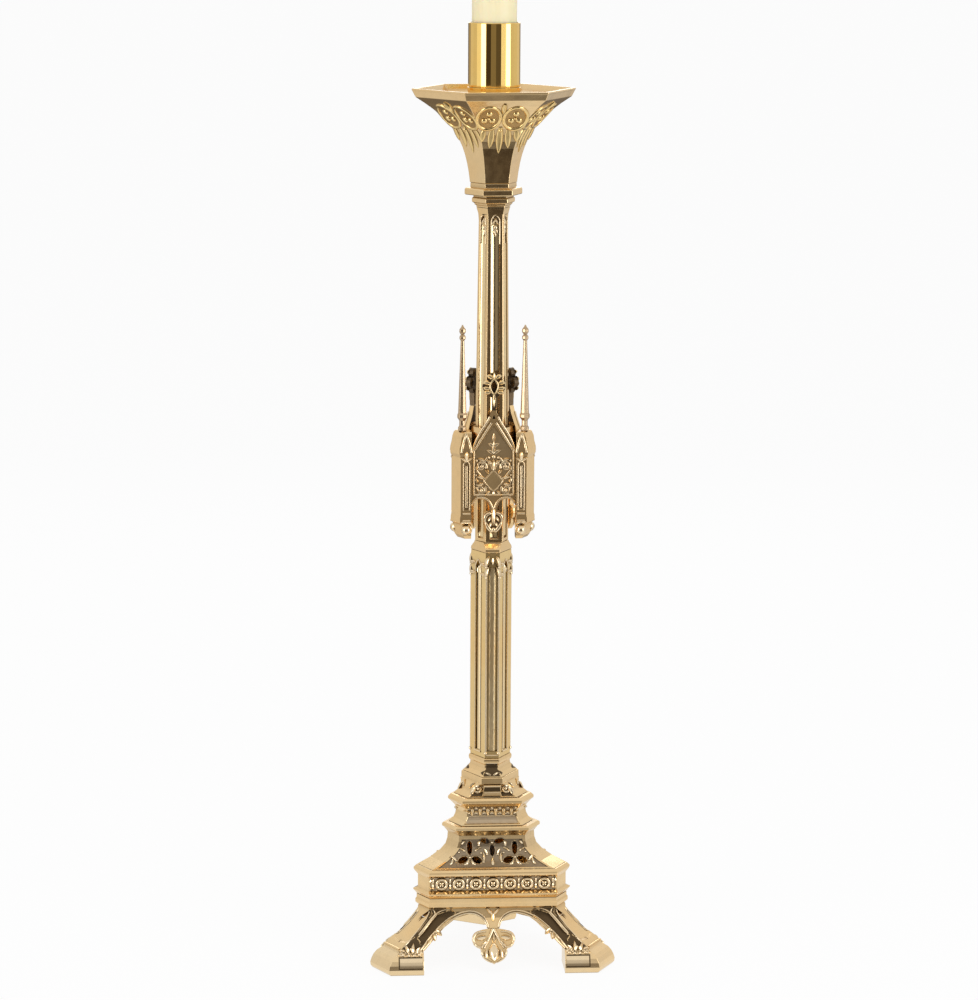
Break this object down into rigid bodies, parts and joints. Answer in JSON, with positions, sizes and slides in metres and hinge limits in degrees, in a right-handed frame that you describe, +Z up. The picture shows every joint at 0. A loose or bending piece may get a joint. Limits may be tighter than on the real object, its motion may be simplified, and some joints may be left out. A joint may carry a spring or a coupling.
{
  "type": "paschal candlestick",
  "caption": "Tall free-standing brass candlestick: triangular arcaded base, panelled shaft with gabled knop, hexagonal drip pan and a socket holding a liftable candle.",
  "frame": {"origin": "on the floor, midway between the front and the back of the feet and midway between their sides", "axes": "+Z up the shaft, -Y the front, where the broad side with the two front feet is, +X to the viewer's right"},
  "size_m": [0.294, 0.2546, 1.3605],
  "materials": {
    "brass": "polished and lacquered casting",
    "bright_brass": "mirror polished",
    "steel": "bright zinc plated",
    "wax": "smooth beeswax blend",
    "wick": "braided cotton"
  },
  "bodies": {
    "stand": {"foot_front_right": "brass", "foot_back": "brass", "foot_front_left": "brass", "leg_arcade": "brass", "pendant_leaf_front": "brass", "pendant_leaf_right": "brass", "pendant_leaf_left": "brass", "ring_frieze_band": "brass", "pierced_tier": "brass", "leafed_tier": "brass", "shaft_plinth": "brass", "shaft_foot": "brass", "lower_shaft": "brass", "shaft_shoulder": "brass", "knop_core": "brass", "knop_panel_front": "brass", "knop_panel_right": "brass", "knop_panel_left": "brass", "knop_buttress_front_right": "brass", "knop_buttress_back": "brass", "knop_buttress_front_left": "brass", "gable_finial_front": "brass", "gable_finial_right": "brass", "gable_finial_left": "brass", "pinnacle_front_right": "brass", "pinnacle_back": "brass", "pinnacle_front_left": "brass", "upper_shaft": "brass", "capital": "brass", "drip_pan": "brass", "socket_ring": "bright_brass", "candle_socket": "bright_brass", "tie_rod": "steel", "rod_washer": "steel", "rod_nut": "steel"},
    "candle": {"candle_wax": "wax", "candle_wick": "wick"}
  },
  "joints": [
    {"name": "candle_lift", "type": "slide", "parent": "stand", "child": "candle", "axis": [0, 0, 1], "range_m": [0, 0.07]}
  ]
}
